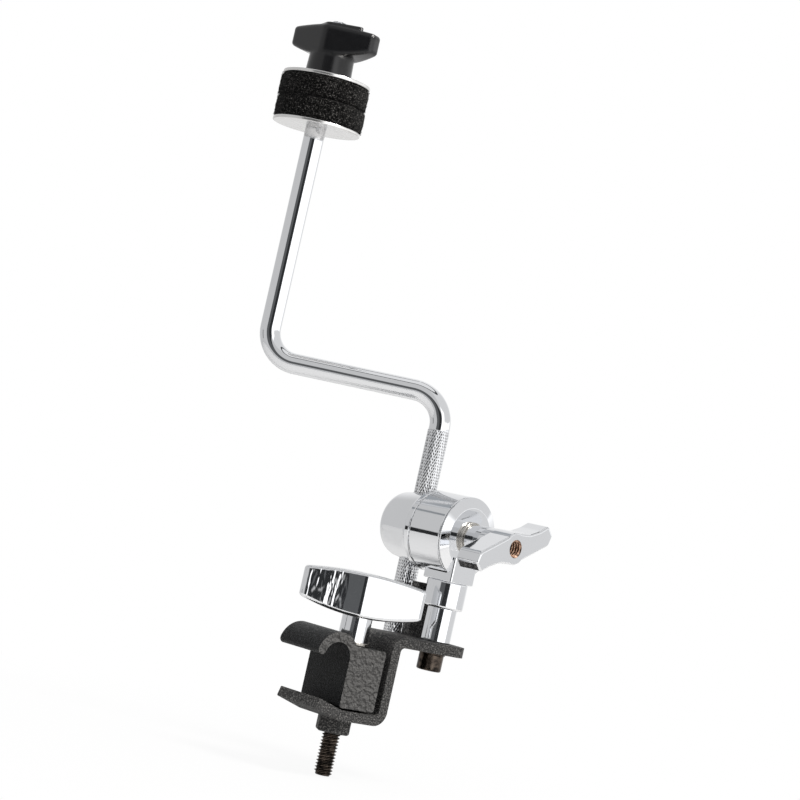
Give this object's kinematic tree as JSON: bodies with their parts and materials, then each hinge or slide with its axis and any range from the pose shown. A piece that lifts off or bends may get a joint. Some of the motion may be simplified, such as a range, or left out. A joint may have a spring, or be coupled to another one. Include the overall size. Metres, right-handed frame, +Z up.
{
  "type": "hoop-mounted cymbal arm",
  "caption": "Cymbal arm that clamps on a drum hoop: hooked rim clamp with wing knob, post with swivel rod clamp, Z-shaped chrome rod and felted cymbal seat with wing nut.",
  "frame": {"origin": "level with the flat of the lower jaw, straight below the middle of the hook, halfway across the jaw", "axes": "+Z up along the clamp screw and the rod's upright legs, +X from the clamp's mouth towards the post, -Y is the front"},
  "size_m": [0.1102, 0.1465, 0.3298],
  "materials": {
    "powder_coat": "sand-textured black powder coat",
    "hook_coat": "coarse hammered dark grey powder coat",
    "black_steel": "black oxide steel",
    "bright_steel": "zinc-plated steel",
    "chrome": "polished chrome on die casting",
    "rod_chrome": "polished chrome on steel rod",
    "bush_brass": "plain brass",
    "washer_steel": "satin nickel plate",
    "nylon": "black nylon",
    "felt": "pressed wool felt",
    "black_plastic": "semi-gloss moulded black plastic"
  },
  "bodies": {
    "bracket": {"hoop_bracket": "powder_coat", "weld_nut": "powder_coat"},
    "hook": {"hook_block": "hook_coat", "thrust_washer": "bright_steel"},
    "screw": {"clamp_screw": "black_steel", "retaining_ring": "bright_steel", "clamp_knob": "chrome"},
    "post": {"post": "chrome", "lock_washer": "black_steel", "post_screw": "black_steel", "swivel_ring": "chrome", "swivel_body": "chrome"},
    "holder": {"rod_holder": "chrome", "eye_bolt": "bright_steel", "release_spring": "bright_steel"},
    "bush": {"rod_bush": "bush_brass"},
    "rod": {"z_rod": "rod_chrome", "lower_washer": "washer_steel", "seat_sleeve": "nylon", "lower_felt": "felt"},
    "clamp_nut_carrier": {"clamp_washer": "bright_steel"},
    "clamp_nut": {"wing_nut": "chrome"},
    "seat_top": {"upper_felt": "felt", "upper_washer": "washer_steel"},
    "cymbal_nut": {"cymbal_wing_nut": "black_plastic", "nut_insert": "bright_steel"}
  },
  "joints": [
    {"name": "hook_travel", "type": "slide", "parent": "bracket", "child": "hook", "axis": [0, 0, 1], "range_m": [-0.0002, 0.014]},
    {"name": "screw_spin", "type": "hinge", "parent": "hook", "child": "screw", "pos_m": [0.017, 0, 0.05], "axis": [0, 0, 1], "range_deg": [-50, 3565]},
    {"name": "post_swivel", "type": "hinge", "parent": "bracket", "child": "post", "pos_m": [0.0623, 0, 0.05], "axis": [0, 0, 1], "range_deg": [-20, 5]},
    {"name": "rod_tilt", "type": "hinge", "parent": "post", "child": "holder", "pos_m": [0.06162, 0.00415, 0.0825], "axis": [0.1616, -0.9869, 0], "range_deg": [-10, 45]},
    {"name": "rod_turn", "type": "hinge", "parent": "holder", "child": "bush", "pos_m": [0.05834, 0.02418, 0.0825], "axis": [0, 0, 1], "range_deg": [-170, 170]},
    {"name": "rod_slide", "type": "slide", "parent": "bush", "child": "rod", "axis": [0, 0, 1], "range_m": [-0.012, 0.03]},
    {"name": "clamp_nut_travel", "type": "slide", "parent": "holder", "child": "clamp_nut_carrier", "axis": [0.1616, -0.9869, 0], "range_m": [0, 0.004]},
    {"name": "clamp_nut_spin", "type": "hinge", "parent": "clamp_nut_carrier", "child": "clamp_nut", "pos_m": [0.06162, 0.00415, 0.0825], "axis": [0.1616, -0.9869, 0], "range_deg": [0, 1020]},
    {"name": "seat_open", "type": "slide", "parent": "rod", "child": "seat_top", "axis": [0, 0, 1], "range_m": [0, 0.01]},
    {"name": "cymbal_nut_spin", "type": "hinge", "parent": "seat_top", "child": "cymbal_nut", "pos_m": [0.00091, 0.08819, 0.2499], "axis": [0, 0, 1], "range_deg": [0, 2879]}
  ],
  "couplings": [
    {"joint": "hook_travel", "follows": "screw_spin", "m_per_rad": 0.00022458},
    {"joint": "clamp_nut_travel", "follows": "clamp_nut_spin", "m_per_rad": 0.00022458},
    {"joint": "seat_open", "follows": "cymbal_nut_spin", "m_per_rad": 0.00019894}
  ]
}
